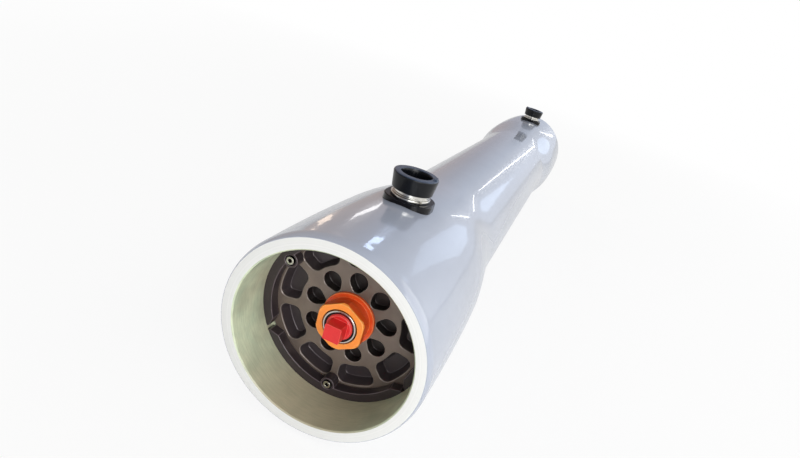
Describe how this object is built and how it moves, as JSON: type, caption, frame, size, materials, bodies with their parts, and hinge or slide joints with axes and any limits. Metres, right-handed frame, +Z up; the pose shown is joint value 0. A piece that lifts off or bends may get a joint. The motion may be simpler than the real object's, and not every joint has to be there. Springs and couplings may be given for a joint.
{
  "type": "membrane pressure vessel",
  "caption": "Filament wound pressure vessel for a membrane element, with belled ends, recessed heads, capped side ports and plugged permeate ports",
  "frame": {"origin": "on the bore axis at the middle of the shell's length", "axes": "+X along the bore from the feed end, which the picture shows near, to the concentrate end; +Z up through both side ports; +Y to the left of someone who looks along +X"},
  "size_m": [1.6, 0.2565, 0.2959],
  "materials": {
    "shell_coat": "glossy light paint over filament wound fibreglass, bare resin inside",
    "bearing_plate_metal": "satin hard anodised, taupe",
    "sealing_plate_plastic": "moulded, dark grey",
    "seal_rubber": "black ethylene rubber",
    "permeate_port_plastic": "moulded, black",
    "permeate_band_steel": "bright turned stainless steel",
    "permeate_nut_plastic": "moulded, orange",
    "permeate_plug_plastic": "moulded, red",
    "adapter_plastic": "turned, off white",
    "lock_segment_plastic": "moulded, dark grey brown",
    "lock_screw_steel": "bright stainless steel",
    "thrust_ring_plastic": "moulded, dark grey",
    "port_pipe_steel": "turned stainless steel",
    "port_saddle_plastic": "moulded, black",
    "port_clip_steel": "bright stainless steel",
    "port_cap_plastic": "moulded, black"
  },
  "bodies": {
    "vessel": {"shell": "shell_coat", "front_bearing_plate": "bearing_plate_metal", "front_sealing_plate": "sealing_plate_plastic", "front_head_seal": "seal_rubber", "front_permeate_port_seal": "seal_rubber", "front_permeate_port": "permeate_port_plastic", "front_permeate_band": "permeate_band_steel", "front_permeate_nut": "permeate_nut_plastic", "front_adapter": "adapter_plastic", "front_adapter_seals": "seal_rubber", "front_lock_segment_1": "lock_segment_plastic", "front_lock_segment_2": "lock_segment_plastic", "front_lock_segment_3": "lock_segment_plastic", "front_lock_screws": "lock_screw_steel", "back_bearing_plate": "bearing_plate_metal", "back_sealing_plate": "sealing_plate_plastic", "back_head_seal": "seal_rubber", "back_permeate_port_seal": "seal_rubber", "back_permeate_port": "permeate_port_plastic", "back_permeate_band": "permeate_band_steel", "back_permeate_nut": "permeate_nut_plastic", "back_adapter": "adapter_plastic", "back_adapter_seals": "seal_rubber", "back_lock_segment_1": "lock_segment_plastic", "back_lock_segment_2": "lock_segment_plastic", "back_lock_segment_3": "lock_segment_plastic", "back_lock_screws": "lock_screw_steel", "thrust_ring": "thrust_ring_plastic", "feed_port_pipe": "port_pipe_steel", "feed_port_seal": "seal_rubber", "feed_port_saddle": "port_saddle_plastic", "feed_port_clip": "port_clip_steel", "concentrate_port_pipe": "port_pipe_steel", "concentrate_port_seal": "seal_rubber", "concentrate_port_saddle": "port_saddle_plastic", "concentrate_port_clip": "port_clip_steel"},
    "back_permeate_plug": {"back_permeate_plug": "permeate_plug_plastic"},
    "concentrate_port_cap": {"concentrate_port_cap": "port_cap_plastic"},
    "feed_port_cap": {"feed_port_cap": "port_cap_plastic"},
    "front_permeate_plug": {"front_permeate_plug": "permeate_plug_plastic"}
  },
  "joints": [
    {"name": "feed_cap_pull", "type": "slide", "parent": "vessel", "child": "feed_port_cap", "axis": [0, 0, 1], "range_m": [0, 0.05]},
    {"name": "concentrate_cap_pull", "type": "slide", "parent": "vessel", "child": "concentrate_port_cap", "axis": [0, 0, 1], "range_m": [0, 0.05]},
    {"name": "front_plug_out", "type": "slide", "parent": "vessel", "child": "front_permeate_plug", "axis": [-1, 0, 0], "range_m": [0, 0.08]},
    {"name": "back_plug_out", "type": "slide", "parent": "vessel", "child": "back_permeate_plug", "axis": [1, 0, 0], "range_m": [0, 0.08]}
  ]
}
